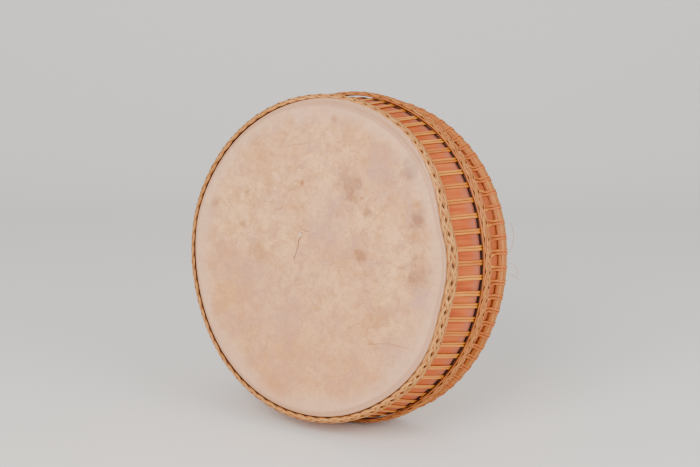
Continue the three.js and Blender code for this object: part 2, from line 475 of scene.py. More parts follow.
# How gathered the hide is round the drum, from 0 to 1, and how far its groove strays, in millimetres.
FRONT_GATHER = (
    (-150, 0.1), (-100, 0), (-50, 0), (-20, 0.4), (5, 0.95), (45, 1), (58, 0.5), (68, 0.1),
    (90, 0.05), (125, 0.35), (155, 0.45), (180, 0.2),
)
FRONT_GROOVE = (
    (-140, -1), (-100, -1.5), (-80, 0), (-60, -2), (-30, -1.5), (0, 0), (60, 0), (100, 0.6),
    (135, -2), (155, -2.5), (178, -0.5),
)
BACK_GATHER = ((-120, 0.1), (-30, 0.6), (40, 0.2), (130, 0.7))
BACK_GROOVE = ((-90, 1), (0, -1), (90, -1), (180, 0.5))
print("the hide is gathered most", max(FRONT_GATHER, key=lambda knot: knot[1])[0], "degrees from the top")


# %% Swells and rim
SWELL_WAVES = (0.19, 0.13, 0.09, 0.06, 0.045)
SWELL_SIZE = 0.7 * MM
PUCKER = 0.35 * MM
CREST_AT, CREST_REACH = 3.4, 2.2


def bump(distance, reach):
    return np.exp(-(distance / reach) ** 2)


def swells(across, up, seed):
    """Low waves across the hide: three headings for each wavelength, in metres."""
    total = np.zeros_like(across)
    dice = np.random.default_rng(seed)
    for wave in SWELL_WAVES:
        for _ in range(3):
            heading = dice.random() * 2 * math.pi
            along = across * math.cos(heading) + up * math.sin(heading)
            total += wave * np.sin(2 * math.pi * along / wave + dice.random() * 6)
    return total * SWELL_SIZE


def rim_rings(turns, side_radius, groove, gather, seed):
    """Radius and depth of the rings from the groove outwards, for every turn."""
    tight = smooth_line(TIGHT_RIM, 3)
    gathered = smooth_line(GATHERED_RIM, 3)
    tight_radius = groove[:, None] + tight[None, :, 0] * (side_radius - groove)[:, None]
    gathered_radius = groove[:, None] + gathered[None, :, 0] * MM
    share = gather[:, None]
    radius = tight_radius + share * (gathered_radius - tight_radius)
    depth = (tight[None, :, 1] + share * (gathered[None, :, 1] - tight[None, :, 1])) * MM
    puckers = 0.5 * np.sin(190 * turns + 3 * np.sin(7 * turns)) + 0.4 * np.sin(83 * turns + seed)
    crest = bump(gathered[None, :, 0] - CREST_AT, CREST_REACH)
    return radius, depth - PUCKER * share * crest * puckers[:, None]


# %% Shape of a head
# Rings of the flat part, as shares of the groove's radius. The last one sinks towards the groove.
FIELD = np.concatenate([np.linspace(0.002, 0.93, 46), np.linspace(0.936, 0.993, 20), [0.9965]])
SINKING = 0.35 * MM * (FIELD > 0.995)
SWELLS_END = 30 * MM
SIDE_GAP = 0.4 * MM
FRONT_LIP = float(shell_radius(0.0))


def hide_head(name, shell_lip, fold_radius, fold, flip, segments, seed, gather_knots, groove_knots):
    """A head whose face is flat at depth 0 and whose fold runs along the shell to fold_radius."""
    side_radius = shell_lip + HIDE + SIDE_GAP
    turns = np.linspace(0, 2 * math.pi, segments, endpoint=False)
    groove = GROOVE_RADIUS + shell_lip - FRONT_LIP + round_curve(turns, groove_knots) * MM
    gather = round_curve(turns, gather_knots)
    flat_radius = groove[:, None] * FIELD[None, :]
    turn = np.broadcast_to(turns[:, None], flat_radius.shape)
    swell = swells(flat_radius * np.sin(turn), flat_radius * np.cos(turn), seed)
    flat_depth = SINKING - swell * np.clip((groove[:, None] - flat_radius) / SWELLS_END, 0, 1)
    rim_radius, rim_depth = rim_rings(turns, side_radius, groove, gather, seed)
    # Down the side, round the fold's end, and back along the inside to the middle.
    wall = np.array([(side_radius, 6.6 * MM), (fold_radius, fold), (fold_radius - HIDE, fold),
                     (side_radius - HIDE, 6.0 * MM), (side_radius - 5 * MM, HIDE), (0.5 * MM, HIDE)])
    walls = np.broadcast_to(wall[None], (segments, len(wall), 2))
    radius = np.concatenate([flat_radius, rim_radius, walls[..., 0]], axis=1)
    depth = np.concatenate([flat_depth, rim_depth, walls[..., 1]], axis=1)
    turn = np.broadcast_to(turns[:, None], radius.shape)
    points = place(radius, turn, flip(depth)).reshape(-1, 3)
    grain = np.stack([radius * np.sin(turn), radius * np.cos(turn), depth], axis=-1).reshape(-1, 3)
    n, m = radius.shape
    caps = [(np.arange(n) * m).tolist(), (np.arange(n) * m + m - 1).tolist()]
    return mesh_from(name, points, ring_quads(n, m, joined=False), grain, caps)


# %% The two heads
fold_length = front_fold_at - face_at
playing_head = hide_head("playing_head", FRONT_LIP, front_fold_radius, fold_length,
                         lambda depth: depth, 640, 1, FRONT_GATHER, FRONT_GROOVE)
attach(playing_head, "root")
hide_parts("front_head")
rear_head = hide_head("rear_head", float(shell_radius(back_at)), back_fold_radius, fold_length,
                      lambda depth: back_at - depth, 448, 5, BACK_GATHER, BACK_GROOVE)
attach(rear_head, "root")
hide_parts("back_head")

# %% [markdown]
# ## The sections of the hoops
# A hoop is a bundle of cane with a plait or splints laid over it, so before weaving we need the bundle's
# outline. Each is a short list of points over the bundle, from its front foot to its back foot, given in
# millimetres from the hoop's front edge and from its bore. The front hoop reaches forwards over the
# corner of the head, and its front foot is pushed out to make room where the hide is gathered in a roll.

# %% Outline of each bundle
BUNDLES = {
    "front_hoop": ((1.9, -2.2), (1.8, 0.0), (2.8, 3.0), (5.2, 5.2), (8.2, 6.1), (10.5, 6.0),
                   (12.7, 5.0), (14.1, 3.0), (14.4, 0.8)),
    "middle_hoop": ((0.7, 0.2), (1.7, 1.6), (4.0, 3.2), (7.0, 4.2), (10.0, 4.0), (12.7, 2.8),
                    (14.1, 0.7)),
    "back_hoop": ((0.6, 0.3), (1.4, 2.2), (3.8, 4.2), (7.0, 5.0), (10.4, 4.7), (13.0, 3.0), (14.1, 0.7)),
}
ROLL_PUSH = 5.5 * MM
FOOT = -0.35
hoops = (("front_hoop", front_hoop), ("middle_hoop", middle_hoop), ("back_hoop", back_hoop))
for node, hoop in hoops:
    line = smooth_line(BUNDLES[node], 10) * MM
    steps = np.linalg.norm(np.diff(line, axis=0), axis=1)
    run = np.concatenate([[0], np.cumsum(steps)])
    hoop["run"] = run[-1]
    hoop["share"] = 2 * run / run[-1] - 1
    hoop["back"] = hoop["at"] - hoop["width"] / 2 + line[:, 0]
    hoop["out"] = hoop["inner"] + line[:, 1]
    print(node, "is", round(run[-1] * 1000, 1), "mm round its bundle")
front_hoop["push"] = FRONT_GATHER


# %% Places on a bundle
NUDGE = 0.02


def crown(hoop, across, lift, turn):
    """A place raised by lift over a bundle, across it from -1 to 1, and the direction outwards there."""
    across, lift, turn = np.broadcast_arrays(across, lift, turn)
    at, radius = [np.interp(across, hoop["share"], hoop[key]) for key in ("back", "out")]
    rise = [np.interp(across + NUDGE, hoop["share"], hoop[key])
            - np.interp(across - NUDGE, hoop["share"], hoop[key]) for key in ("back", "out")]
    length = np.hypot(*rise)
    out_share, back_share = rise[0] / length, -rise[1] / length
    if "push" in hoop:
        foot = np.clip(FOOT - across, 0, 1 + FOOT) / (1 + FOOT)
        radius = radius + ROLL_PUSH * foot * round_curve(turn, hoop["push"])
    out = outwards(turn) * out_share[..., None] + np.multiply.outer(back_share, AXIS)
    return place(radius, turn, at) + out * lift[..., None], out


# %% [markdown]
# ## The lacing
# One long strip of split rattan runs to and fro between the hoops. From the front it lies in pairs,
# and behind the middle hoop each strip of a pair leans over to its neighbour, so that they meet half a
# step further round, climb the back hoop together and bind its splints down. Each run is swept on its
# own path: straight where it is under tension, then over the back hoop in a curve. Small differences in
# spacing and slack, drawn once for every pair, keep it from looking machine made.

# %% Measures of the lacing
STRIP_WIDTH = 3.55 * MM
STRIP_THICKNESS = 1.15 * MM
SPLINT = 1.3 * MM
SPLINT_GAP = 0.1 * MM
HEAD_GAP = 0.4 * MM
SHELL_GAP = 0.45 * MM
SLACK = 0.4 * MM
HOOP_LEAD = 1.5 * MM
STRAIGHT_STEPS, FAN_STEPS, CLIMB_STEPS = 10, 13, 12
pair_shift = (rng.random(LACING_PAIRS) - 0.5) * 0.2 * PITCH
meeting_shift = (rng.random(LACING_PAIRS) - 0.5) * 0.12 * PITCH


def relaxed(line, rounds=2):
    """The line with its corners eased, and its two ends kept."""
    for _ in range(rounds):
        line[1:-1] = (line[:-2] + 2 * line[1:-1] + line[2:]) / 4
    return line


# %% One run of the lacing
def lacing_run(weave, pair, hand):
    """One strip of a pair, on its left (-1) or its right (+1)."""
    turn = spaced(pair * PITCH + pair_shift[pair])
    meeting_pair = pair if hand > 0 else (pair - 1) % LACING_PAIRS
    meeting = spaced(pair * PITCH + hand * PITCH / 2 + meeting_shift[meeting_pair])
    start = front_fold_at + HEAD_GAP
    parting = middle_hoop["at"]
    foot = back_hoop["at"] - back_hoop["width"] / 2 - HOOP_LEAD
    at = np.concatenate([np.linspace(start, parting, STRAIGHT_STEPS, endpoint=False),
                         np.linspace(parting, foot, FAN_STEPS)])
    share = np.clip((at - parting) / (foot - parting), 0, 1)
    sag = np.sin(math.pi * np.clip((at - start) / (parting - start), 0, 1))
    radius = shell_radius(at) + SHELL_GAP + SLACK * rng.random() ** 2 * sag
    beside = hand * STRIP_WIDTH / 2
    middle = turn + share * (1.5 - 0.5 * share) * (meeting - turn)
    angle = middle + (1 - 2 * share) * beside / radius
    angle = angle + 0.1 * MM * np.sin(at * 90 + rng.random() * 6) / radius
    flat = place(radius, angle, at)
    over = np.linspace(-0.9, 0.97, CLIMB_STEPS)
    squeezed = 0.5 * (1 + 0.35 * np.abs(over))
    climb_turn = meeting - hand * squeezed * STRIP_WIDTH / radius[-1]
    climb, climb_out = crown(back_hoop, over, SPLINT + SPLINT_GAP, climb_turn)
    path = relaxed(np.vstack([flat, climb]))
    out = relaxed(np.vstack([outwards(angle), climb_out]))
    width = STRIP_WIDTH * (0.96 + 0.06 * rng.random())
    narrowing = np.concatenate([np.ones(len(at)), 0.86 + 0.1 * np.abs(over)])
    age = np.concatenate([share ** 0.5, np.ones(CLIMB_STEPS)])
    weave.add(path, out, width * narrowing, STRIP_THICKNESS, age=age)


lacing_weave = Weave()
for pair in range(LACING_PAIRS):
    for hand in (-1, 1):
        lacing_run(lacing_weave, pair, hand)
print("the lacing has", len(lacing_weave.points), "strips")

# %% [markdown]
# ## Loose ends
# Where one length of rattan ran out and the next began, the maker tucked the ends into the slot in front
# of the middle hoop: they stand there as small curls. A few thin fibres have split off the canes and
# stick out from the hoops. They are swept with the same helper, from short lists of places on the drum.

# %% Curls and stray fibres
# Each curl: degrees from the top, and its reach and width in millimetres.
CURLS = ((126.5, 2.0, 1.7), (138, 3.0, 1.3), (143.5, 2.8, 1.3), (149, 2.9, 1.3), (154, 2.6, 1.3),
         (214, 2.7, 1.3))
bend = np.linspace(-0.4, 1.6 * math.pi, 26)
centre_at = (channel_front + channel_back) / 2
lean = shell_radius(centre_at) + 1.6 * MM + 0.5 * MM * np.linspace(-1, 1, len(bend))
for degrees, reach, width in CURLS:
    curl_turn = spaced(math.radians(degrees)) + reach * MM * np.sin(bend) / lean
    curl = place(lean, curl_turn, centre_at + reach * 0.75 * MM * np.cos(bend))
    lacing_weave.add(curl, outwards(curl_turn), width * MM, 1.0 * MM)

# Each fibre: points as (millimetres out from the axis, degrees from the top, millimetres back).
FIBRES = (
    ((226, 82.5, 136), (231, 81.2, 137), (238, 78, 134), (241, 74.5, 130), (240, 72.5, 128)),
    ((229, 85.5, 137), (235, 86, 139), (240, 87.6, 141), (242, 89.5, 141)),
    ((228, 89.3, 137), (236, 89.6, 139), (245, 90.8, 140)),
    ((234, 33, 84), (240, 32, 83), (244, 32.3, 81)),
)
for fibre in FIBRES:
    line = smooth_line(fibre, 8)
    turn = np.radians(line[:, 1])
    path = place(line[:, 0] * MM, turn, line[:, 2] * MM)
    lacing_weave.add(path, outwards(turn), 0.5 * MM, 0.45 * MM)

# %% The lacing
lacing = lacing_weave.mesh("rattan_lacing")
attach(lacing, "root")
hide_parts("lacing")

# %% [markdown]
# ## The plaits
# The front and middle hoops wear a flat plait of four strands, each strand three narrow strips side by
# side. Seen from above, a strand swings from edge to edge like a wave, and the four waves follow each
# other by a quarter. A strand crosses others six times on every wave, and goes over and under by turns,
# which gives the eyelets their lens shape. One full wave takes four steps of the lacing. That does not
# divide the lacing evenly, so a strand comes round half a wave out of step and meets its opposite
# number. The plait is really two long strands that each go round the drum twice.

# %% How a strand swings and where it is on top
STRANDS = 4
STRIPS = 3
WAVES_PER_LAP = LACING_PAIRS / STRANDS
LAPS = 2
STEPS_PER_WAVE = 34
PLAIT_THICKNESS = 1.0 * MM
STRAND_SHARE = 0.29
CROSSINGS = np.radians([0, 45, 135, 180, 225, 315, 360])
ON_TOP = np.array([1, 0, 1, 0, 1, 0, 1])


def over_under(phase):
    """1 where the strand is on top of a crossing, 0 where it is beneath one, and smooth between."""
    phase = np.mod(phase, 2 * math.pi)
    k = np.clip(np.searchsorted(CROSSINGS, phase, side="right") - 1, 0, len(CROSSINGS) - 2)
    share = (phase - CROSSINGS[k]) / (CROSSINGS[k + 1] - CROSSINGS[k])
    share = share * share * (3 - 2 * share)
    return ON_TOP[k] + share * (ON_TOP[k + 1] - ON_TOP[k])


# %% Weave a plait
def wobble(dice, turn, waves, size):
    """A slow wave round the drum that starts anywhere."""
    return size * np.sin(waves * turn + dice.random() * 6)


def plait(weave, hoop, low, high, start, seed):
    """A plait over the part of a bundle that lies between low and high, both from -1 to 1."""
    steps = round(LAPS * WAVES_PER_LAP) * STEPS_PER_WAVE
    turn = np.linspace(0, LAPS * 2 * math.pi, steps, endpoint=False)
    dice = np.random.default_rng(seed)
    half = (high - low) / 2
    strip = STRAND_SHARE * half * hoop["run"] / STRIPS
    hurry = wobble(dice, turn, 5, 0.16) + wobble(dice, turn, 13, 0.12)
    for strand in range(STRANDS // LAPS):
        phase = WAVES_PER_LAP * turn + hurry + strand * math.pi / 2 + start
        swing = 1 - STRAND_SHARE + wobble(dice, turn, 7, 0.03)
        steep = half * swing * hoop["run"] / 2 * WAVES_PER_LAP * np.cos(phase) / DRUM_RADIUS
        level = over_under(phase) * PLAIT_THICKNESS + wobble(dice, turn, 29, 0.1 * MM)
        for side in (-1, 0, 1):
            drift = wobble(dice, turn, 23, 0.1)
            beside = (side + drift) * strip * np.hypot(1, steep) * 2 / hoop["run"]
            across = np.clip((low + high) / 2 + half * swing * np.sin(phase) + beside, -1, 1)
            path, out = crown(hoop, across, level, spaced(turn))
            width = strip * (1.0 + wobble(dice, turn, 11, 0.06))
            weave.add(path, out, width, PLAIT_THICKNESS, closed=True)


# %% [markdown]
# ## Strands that run straight
# Not everything on a hoop is woven. Three plain canes lie side by side behind the front plait, from its
# crest down to its back foot, and the middle plait has one at its front foot. The back hoop has no plait
# at all: five splints of cane lie along it, and every pair of the lacing binds them down. Where a pair
# crosses, a splint is pinched and pulled in, and between two pairs it swells out.

# %% Lay a strand along a hoop
def lay_strand(weave, hoop, across, width, thickness, seed, lift=0.1, pinch=0.0, age=0.0):
    """One closed strand at a place across the bundle. Sizes and lift are in millimetres."""
    turn = np.linspace(0, 2 * math.pi, LACING_PAIRS * 12, endpoint=False)
    dice = np.random.default_rng(seed)
    held = (0.5 - 0.5 * np.cos(LACING_PAIRS * turn)) ** 3
    wander = wobble(dice, turn, 9, 0.02) + wobble(dice, turn, 31, 0.012)
    raised = (lift - 0.5 * pinch * held + wobble(dice, turn, 17, 0.12)) * MM
    path, out = crown(hoop, across + wander, raised, spaced(turn))
    weave.add(path, out, width * MM * (1 - pinch * held), thickness * MM, closed=True, age=age)


# %% The bundle under it all
BUNDLE_TURNS = 370
BUNDLE_SINK = 0.15 * MM
FOOT_INSET = 0.8 * MM


def bundle(name, hoop):
    """The bundle of cane under a plait, as one closed ring with a flat bore."""
    turn = np.linspace(0, 2 * math.pi, BUNDLE_TURNS, endpoint=False)
    points, _ = crown(hoop, np.linspace(-1, 1, 15)[None, :], -BUNDLE_SINK, turn[:, None])
    foot_at = np.array([hoop["back"][-1] - FOOT_INSET, hoop["back"][0] + FOOT_INSET])
    feet = place(hoop["inner"] + 0.1 * MM, turn[:, None], foot_at[None, :])
    rings = np.concatenate([points, feet], axis=1)
    n, m, _ = rings.shape
    i, j = np.indices((n, m))
    grain = np.stack([i * 4 * MM, j / m, np.full(i.shape, 0.5)], axis=-1).reshape(-1, 3)
    return mesh_from(name, rings.reshape(-1, 3), ring_quads(n, m), grain)


# %% The three hoops
weaves = {"front_hoop": Weave(), "middle_hoop": Weave(), "back_hoop": Weave()}
plait(weaves["front_hoop"], front_hoop, -1.0, 0.34, 0.4, 11)
lay_strand(weaves["front_hoop"], front_hoop, 0.44, 3.2, 1.9, 12, lift=0.2)
lay_strand(weaves["front_hoop"], front_hoop, 0.68, 3.0, 1.5, 13)
lay_strand(weaves["front_hoop"], front_hoop, 0.90, 2.6, 1.5, 14)
plait(weaves["middle_hoop"], middle_hoop, -0.84, 1.0, 0.0, 23)
lay_strand(weaves["middle_hoop"], middle_hoop, -0.95, 2.4, 1.5, 24)
SPLINTS = ((-0.94, 1.0), (-0.52, 1.0), (-0.08, 0.9), (0.36, 0.0), (0.8, 1.0))
for k, (across, age) in enumerate(SPLINTS):
    lay_strand(weaves["back_hoop"], back_hoop, across, 4.5, 1.3, 37 + k, pinch=0.2, age=age)

plaits = []
cores = []
for node, hoop in hoops:
    woven = weaves[node].mesh(node + "_plait")
    core = bundle(node + "_core", hoop)
    for piece in (woven, core):
        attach(piece, "root")
        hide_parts(node)
    plaits.append(woven)
    cores.append(core)

# %% [markdown]
# ## Making a finish
# All finishes here are built from nodes: noise and bands mixed into a colour, a roughness and a bump.
# The same few steps come back every time, so a small workbench class holds the node tree and makes the
# links for us. Colours are written as they look on a screen, from 0 to 255, and changed to the linear
# light that the renderer works in.

# %% A workbench for node materials
def tint(red, green, blue):
    def linear(value):
        value = value / 255
        return value / 12.92 if value <= 0.04045 else ((value + 0.055) / 1.055) ** 2.4
    return (linear(red), linear(green), linear(blue), 1.0)


class Finish:
    """A material with a shader, to which colour, roughness and bump are linked step by step."""

    def __init__(self, name):
        self.material = bpy.data.materials.new(name)
        self.material.use_nodes = True
        self.nodes = self.material.node_tree.nodes
        self.links = self.material.node_tree.links
        self.shader = self.nodes["Principled BSDF"]

    def link(self, source, target):
        self.links.new(source, target)

    def node(self, kind, **settings):
        made = self.nodes.new(kind)
        for key, value in settings.items():
            setattr(made, key, value)
        return made

    def feed(self, socket, value):
        if isinstance(value, bpy.types.NodeSocket):
            self.link(value, socket)
        else:
            socket.default_value = value

    def grain(self):
        """The three numbers kept with every point of a mesh."""
        return self.node("ShaderNodeAttribute", attribute_name="grain").outputs["Vector"]

    def parts(self, vector):
        split = self.node("ShaderNodeSeparateXYZ")
        self.link(vector, split.inputs[0])
        return split.outputs[0], split.outputs[1], split.outputs[2]

    def stretched(self, vector, scale, shift=(0, 0, 0)):
        mapping = self.node("ShaderNodeMapping")
        self.link(vector, mapping.inputs["Vector"])
        mapping.inputs["Scale"].default_value = scale
        mapping.inputs["Location"].default_value = shift
        return mapping.outputs[0]

    def noise(self, vector, scale, detail=4.0, roughness=0.55, distortion=0.0):
        made = self.node("ShaderNodeTexNoise")
        self.link(vector, made.inputs["Vector"])
        made.inputs["Scale"].default_value = scale
        made.inputs["Detail"].default_value = detail
        made.inputs["Roughness"].default_value = roughness
        made.inputs["Distortion"].default_value = distortion
        return made.outputs["Fac"]

    def math(self, operation, first, second=0.0):
        made = self.node("ShaderNodeMath", operation=operation)
        self.feed(made.inputs[0], first)
        self.feed(made.inputs[1], second)
        return made.outputs[0]

    def times(self, first, second):
        return self.math("MULTIPLY", first, second)

    def plus(self, first, second):
        return self.math("ADD", first, second)

    def minus(self, first, second):
        return self.math("SUBTRACT", first, second)

    def length(self, first, second):
        """How long a line is that goes so far one way and so far square to it."""
        squared = self.plus(self.times(first, first), self.times(second, second))
        return self.math("SQRT", squared)

    def window(self, value, low, high, to_low=0.0, to_high=1.0):
        """value, stretched so that low to high becomes to_low to to_high, and held there."""
        made = self.node("ShaderNodeMapRange", interpolation_type="SMOOTHSTEP")
        self.link(value, made.inputs["Value"])
        made.inputs["From Min"].default_value = low
        made.inputs["From Max"].default_value = high
        made.inputs["To Min"].default_value = to_low
        made.inputs["To Max"].default_value = to_high
        return made.outputs["Result"]

    def ramp(self, value, stops):
        made = self.node("ShaderNodeValToRGB")
        self.link(value, made.inputs["Fac"])
        elements = made.color_ramp.elements
        while len(elements) < len(stops):
            elements.new(0.5)
        for element, (position, colour) in zip(elements, stops):
            element.position = position
            element.color = colour
        return made.outputs["Color"]

    def blend(self, share, first, second):
        made = self.node("ShaderNodeMix", data_type="RGBA")
        self.feed(made.inputs["Factor"], share)
        self.feed(made.inputs["A"], first)
        self.feed(made.inputs["B"], second)
        return made.outputs["Result"]

    def bump(self, height, strength, distance, under=None):
        made = self.node("ShaderNodeBump")
        made.inputs["Strength"].default_value = strength
        made.inputs["Distance"].default_value = distance
        self.link(height, made.inputs["Height"])
        if under is not None:
            self.link(under, made.inputs["Normal"])
        return made.outputs["Normal"]

    def finish(self, colour, roughness, normal, specular=0.4):
        self.link(colour, self.shader.inputs["Base Color"])
        self.feed(self.shader.inputs["Roughness"], roughness)
        self.link(normal, self.shader.inputs["Normal"])
        self.shader.inputs["Specular IOR Level"].default_value = specular
        print("finish made:", self.material.name)
        return self.material


def dress(piece, material):
    piece.data.materials.clear()
    piece.data.materials.append(material)

# %% [markdown]
# ## Split rattan
# The outside of a cane is its skin: smooth, hard and a little glossy, straw-yellow when new and honey
# brown with age. Fine fibres run along it, and the edges of every strip are painted darker as the shade
# where strips meet. Because each strip carries its own coordinates, the fibres can follow every bend of a
# plait. A strip's random tone moves its colour between straw and brown, so that neighbours differ.

# %% Rattan finish
def rattan_finish(name, pale, honey, brown, edge_shade_and_soil, redder, wear):
    """Pale, honey and brown are the skin's range. Painted edge shade and soil share one colour; redder
    cane has its own.
    """
    cane = Finish(name)
    grain = cane.grain()
    along, across, tone = cane.parts(grain)
    fibres = cane.noise(cane.stretched(grain, (18, 9, 7)), 1.0, 6.0, 0.65)
    fine_fibres = cane.noise(cane.stretched(grain, (60, 40, 11)), 1.0, 3.0)
    patches = cane.noise(cane.stretched(grain, (22, 0.4, 5)), 1.0, 3.0)
    own_tone = cane.math("FRACT", tone)
    tone_and_patch = cane.plus(cane.times(own_tone, 0.4), cane.times(patches, 0.6))
    shade = cane.plus(tone_and_patch, cane.times(fibres, 0.35))
    colour = cane.ramp(shade, [(0.35, brown), (0.62, honey), (0.9, pale)])
    from_middle = cane.math("ABSOLUTE", across)
    # Painted shade: the edges of each strip are darkened where strips meet. Soil takes the same colour.
    painted_edge_shade = cane.window(from_middle, 0.3, 0.5, 0.0, 0.75)
    colour = cane.blend(painted_edge_shade, colour, edge_shade_and_soil)
    # The whole number in the tone turns the cane a darker, redder brown.
    reddened = cane.window(tone, 0.75, 1.25, 0.0, 0.7)
    colour = cane.blend(reddened, colour, redder)
    soil = cane.noise(cane.stretched(grain, (70, 1.5, 9)), 1.0, 5.0)
    colour = cane.blend(cane.window(soil, 0.58, 0.74, 0.0, wear), colour, edge_shade_and_soil)
    height = cane.plus(fibres, cane.times(fine_fibres, 0.5))
    normal = cane.bump(height, 0.35, 0.3 * MM)
    roughness = cane.window(fine_fibres, 0.3, 0.7, 0.42, 0.62)
    return cane.finish(colour, roughness, normal, 0.4)


# %% Five kinds of cane
REDDER_CANE = tint(176, 86, 32)
lacing_finish = rattan_finish("split_rattan", tint(224, 146, 46), tint(206, 120, 36), tint(176, 90, 26),
                              tint(118, 50, 16), REDDER_CANE, 0.35)
front_plait_finish = rattan_finish("front_plait", tint(226, 170, 98), tint(196, 126, 58),
                                   tint(160, 92, 38), tint(84, 40, 18), REDDER_CANE, 0.5)
middle_plait_finish = rattan_finish("middle_plait", tint(208, 138, 66), tint(184, 106, 42),
                                    tint(152, 76, 28), tint(80, 36, 14), REDDER_CANE, 0.5)
back_plait_finish = rattan_finish("back_plait", tint(202, 158, 62), tint(184, 124, 46),
                                  tint(150, 88, 32), tint(92, 46, 18), REDDER_CANE, 0.4)
# The core is cane, but its colour is painted dark brown as the shade seen through the plaits' eyelets.
core_with_painted_shade = rattan_finish("cane_core", tint(104, 60, 32), tint(80, 44, 22), tint(54, 28, 15),
                            tint(30, 15, 9), tint(80, 44, 22), 0.4)
dress(lacing, lacing_finish)
for piece, material in zip(plaits, (front_plait_finish, middle_plait_finish, back_plait_finish)):
    dress(piece, material)
for piece in cores:
    dress(piece, core_with_painted_shade)

# %% [markdown]
# ## Shell wood
# The log's grain runs along the drum's axis, so the noise that makes it is stretched that way. The wood
# is a dry reddish brown. Towards the channel it turns greyish, inside the channel it is painted nearly
# black as shade, and behind it the wood is plain brown again. Each place comes from the grain
# coordinates, whose first number is the distance back from the playing head.

# %% Wood finish
def wood_finish():
    wood = Finish("shell_wood")
    place_on = wood.grain()
    at, _, _ = wood.parts(place_on)
    lines = wood.noise(wood.stretched(place_on, (9, 70, 3)), 1.0, 6.0, 0.6, 0.4)
    fine = wood.noise(wood.stretched(place_on, (40, 420, 3)), 1.0, 3.0)
    broad = wood.noise(wood.stretched(place_on, (6, 9, 0)), 1.0, 3.0)
    shade = wood.plus(wood.times(lines, 0.55), wood.times(broad, 0.55))
    colour = wood.ramp(shade, [(0.36, tint(144, 52, 16)), (0.52, tint(180, 78, 27)),
                               (0.66, tint(198, 102, 44))])
    # The wood is coloured greyish towards the channel.
    greyer_towards_channel = wood.window(at, channel_front - 22 * MM, channel_front - 2 * MM, 0.0, 0.8)
    colour = wood.blend(greyer_towards_channel, colour, tint(164, 96, 78))
    rear = wood.window(at, channel_back, channel_back + 6 * MM, 0.0, 0.85)
    colour = wood.blend(rear, colour, tint(178, 84, 34))
    # Painted shade: the wood inside the channel is coloured nearly black.
    entering = wood.window(at, channel_front - 0.4 * MM, channel_front + 0.6 * MM)
    leaving = wood.window(at, channel_back, channel_back + 1 * MM, 1.0, 0.0)
    painted_channel_shade = wood.times(entering, leaving)
    colour = wood.blend(wood.times(painted_channel_shade, 0.94), colour, tint(30, 16, 12))
    normal = wood.bump(fine, 0.25, 0.3 * MM, wood.bump(lines, 0.3, 0.8 * MM))
    return wood.finish(colour, wood.window(lines, 0.3, 0.7, 0.6, 0.8), normal, 0.3)


dress(shell, wood_finish())

# %% [markdown]
# ## Rawhide
# Rawhide is the whole skin, scraped and dried. Close up it is a cloudy mix of cream, straw and a
# greyish lilac where it is thin, with specks of hair root and faint folds. Years of playing leave
# brown smudges. We mix noise at five sizes, from broad clouds to specks, draw the folds along the middle
# values of two more, and darken the hide slightly towards the bottom as painted shade. Then the marks are
# laid on one by one, in millimetres from the head's centre: soft blots with a wavy rim, and thin crooked
# streaks, of which a dark one left of the middle is a crack.

# %% Marks on the hide
PLUM = tint(120, 76, 66)
BROWN = tint(150, 92, 52)
LILAC = tint(190, 148, 138)
HONEY = tint(218, 160, 90)
CRACK = tint(70, 44, 34)
FLESH = tint(250, 240, 225)
# Blots: across, up, radius in millimetres, strength, and the colour that stains the hide.
FRONT_BLOTS = [
    (148, 134, 17, 0.75, PLUM), (160, 150, 8, 0.8, BROWN), (170, 73, 16, 0.6, PLUM),
    (162, 52, 12, 0.35, BROWN), (19, 193, 8, 0.7, BROWN), (53, 105, 24, 0.45, PLUM),
    (60, 88, 13, 0.5, BROWN), (85, 73, 9, 0.5, PLUM), (80, 13, 13, 0.6, BROWN),
    (174, -2, 26, 0.5, PLUM), (182, -30, 18, 0.35, LILAC), (-97, 1, 18, 0.4, BROWN),
    (-180, 60, 10, 0.6, BROWN), (-123, 79, 6, 0.6, BROWN), (-126, 33, 7, 0.5, BROWN),
    (-28, 102, 5, 0.7, BROWN), (-48, -131, 12, 0.55, HONEY), (110, 120, 40, 0.25, LILAC),
    (-60, -60, 60, 0.2, LILAC), (20, 60, 45, 0.25, LILAC), (150, -110, 40, 0.25, LILAC),
    (120, -60, 22, 0.3, BROWN), (-150, -70, 30, 0.2, HONEY),
]
BACK_BLOTS = [
    (-90, 110, 30, 0.4, PLUM), (60, -80, 22, 0.4, BROWN), (130, 60, 34, 0.3, LILAC),
    (-40, -20, 14, 0.4, BROWN),
]
# Streaks: from, to, width in millimetres, strength, and the colour.
FRONT_STREAKS = [
    ((-22, 35), (-31, -7), 1.0, 0.85, CRACK), ((-27, 39), (-8, 36), 0.9, 0.6, CRACK),
    ((-25, 33), (-24, 27), 1.3, 0.8, FLESH), ((101, -102), (138, -94), 1.1, 0.5, BROWN),
    ((138, -94), (174, -98), 1.1, 0.5, BROWN), ((-60, 150), (-20, 158), 1.2, 0.35, BROWN),
]
print("the playing head has", len(FRONT_BLOTS), "blots and", len(FRONT_STREAKS), "streaks")


# %% Clean hide
def face_noise(hide, shift, *settings):
    """Noise over the face. It does not change through the hide's thickness."""
    return hide.noise(hide.stretched(hide.grain(), (1, 1, 0), shift), *settings)


